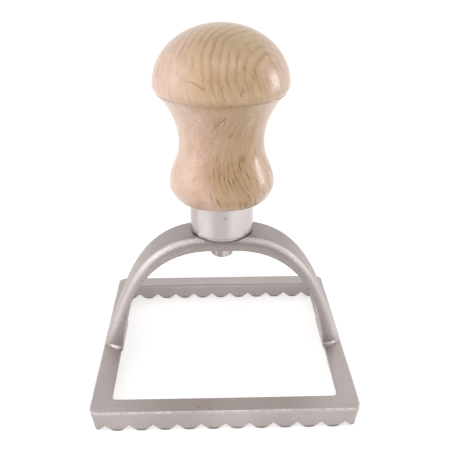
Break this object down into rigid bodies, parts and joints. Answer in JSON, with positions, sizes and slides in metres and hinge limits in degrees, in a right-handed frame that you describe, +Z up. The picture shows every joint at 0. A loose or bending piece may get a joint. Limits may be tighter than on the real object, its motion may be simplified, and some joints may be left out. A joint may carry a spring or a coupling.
{
  "type": "ravioli stamp",
  "caption": "Square pastry stamp: cast metal frame with a scalloped cutting edge, an arched bridge, a bright ferrule and a turned wooden knob.",
  "frame": {"origin": "middle of the square, on the surface that the teeth rest on", "axes": "Z up along the knob's axis; X from one foot of the bridge to the other; Y from front to back"},
  "size_m": [0.065, 0.065, 0.0901],
  "materials": {
    "cast_metal": "satin tumbled casting",
    "bright_metal": "polished",
    "shank_metal": "turned",
    "beech": "satin varnish"
  },
  "bodies": {
    "root": {"cutter_frame": "cast_metal", "ferrule": "bright_metal", "shank": "shank_metal", "knob": "beech"}
  },
  "joints": []
}
